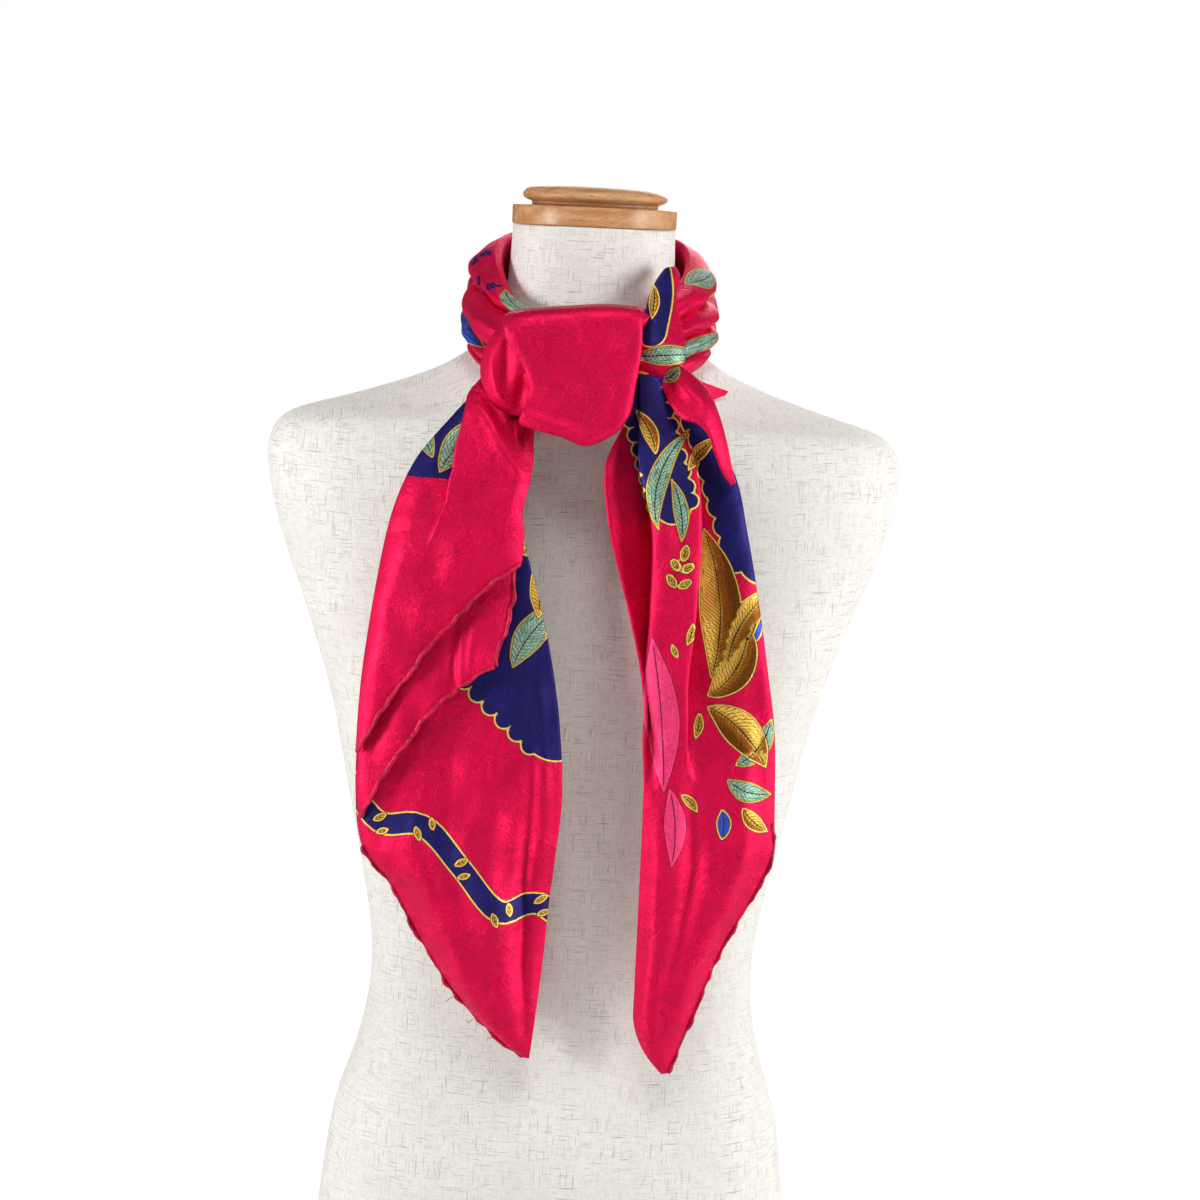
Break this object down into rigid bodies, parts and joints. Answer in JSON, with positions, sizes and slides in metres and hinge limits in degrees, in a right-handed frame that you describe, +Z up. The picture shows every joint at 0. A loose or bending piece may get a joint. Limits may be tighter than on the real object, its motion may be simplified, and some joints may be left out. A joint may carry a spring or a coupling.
{
  "type": "silk square scarf on a dress form",
  "caption": "Silk square folded into a band, tied in front round the neck of a limbless linen dress form with a wooden neck cap, its two tails hanging.",
  "frame": {"origin": "centre of the dress form's flat underside, where it stands", "axes": "+Z up along the form, -Y towards the front where the knot and tails are, +X to the viewer's right when facing the knot"},
  "size_m": [0.3914, 0.2362, 0.7126],
  "materials": {
    "silk": "satin silk twill",
    "linen": "matte slub linen weave",
    "wood": "satin varnished beech"
  },
  "bodies": {
    "root": {"form_torso": "linen", "form_neck_ring": "wood", "form_neck_knob": "wood", "scarf_collar_left": "silk", "scarf_collar_back": "silk", "scarf_collar_right": "silk", "scarf_inner_fold": "silk", "scarf_corner": "silk", "scarf_knot_wrap": "silk", "scarf_knot_core": "silk", "scarf_tail_left_front": "silk", "scarf_tail_left_middle": "silk", "scarf_tail_left_back": "silk", "scarf_tail_right_pleats": "silk", "scarf_tail_right_flap": "silk"}
  },
  "joints": []
}
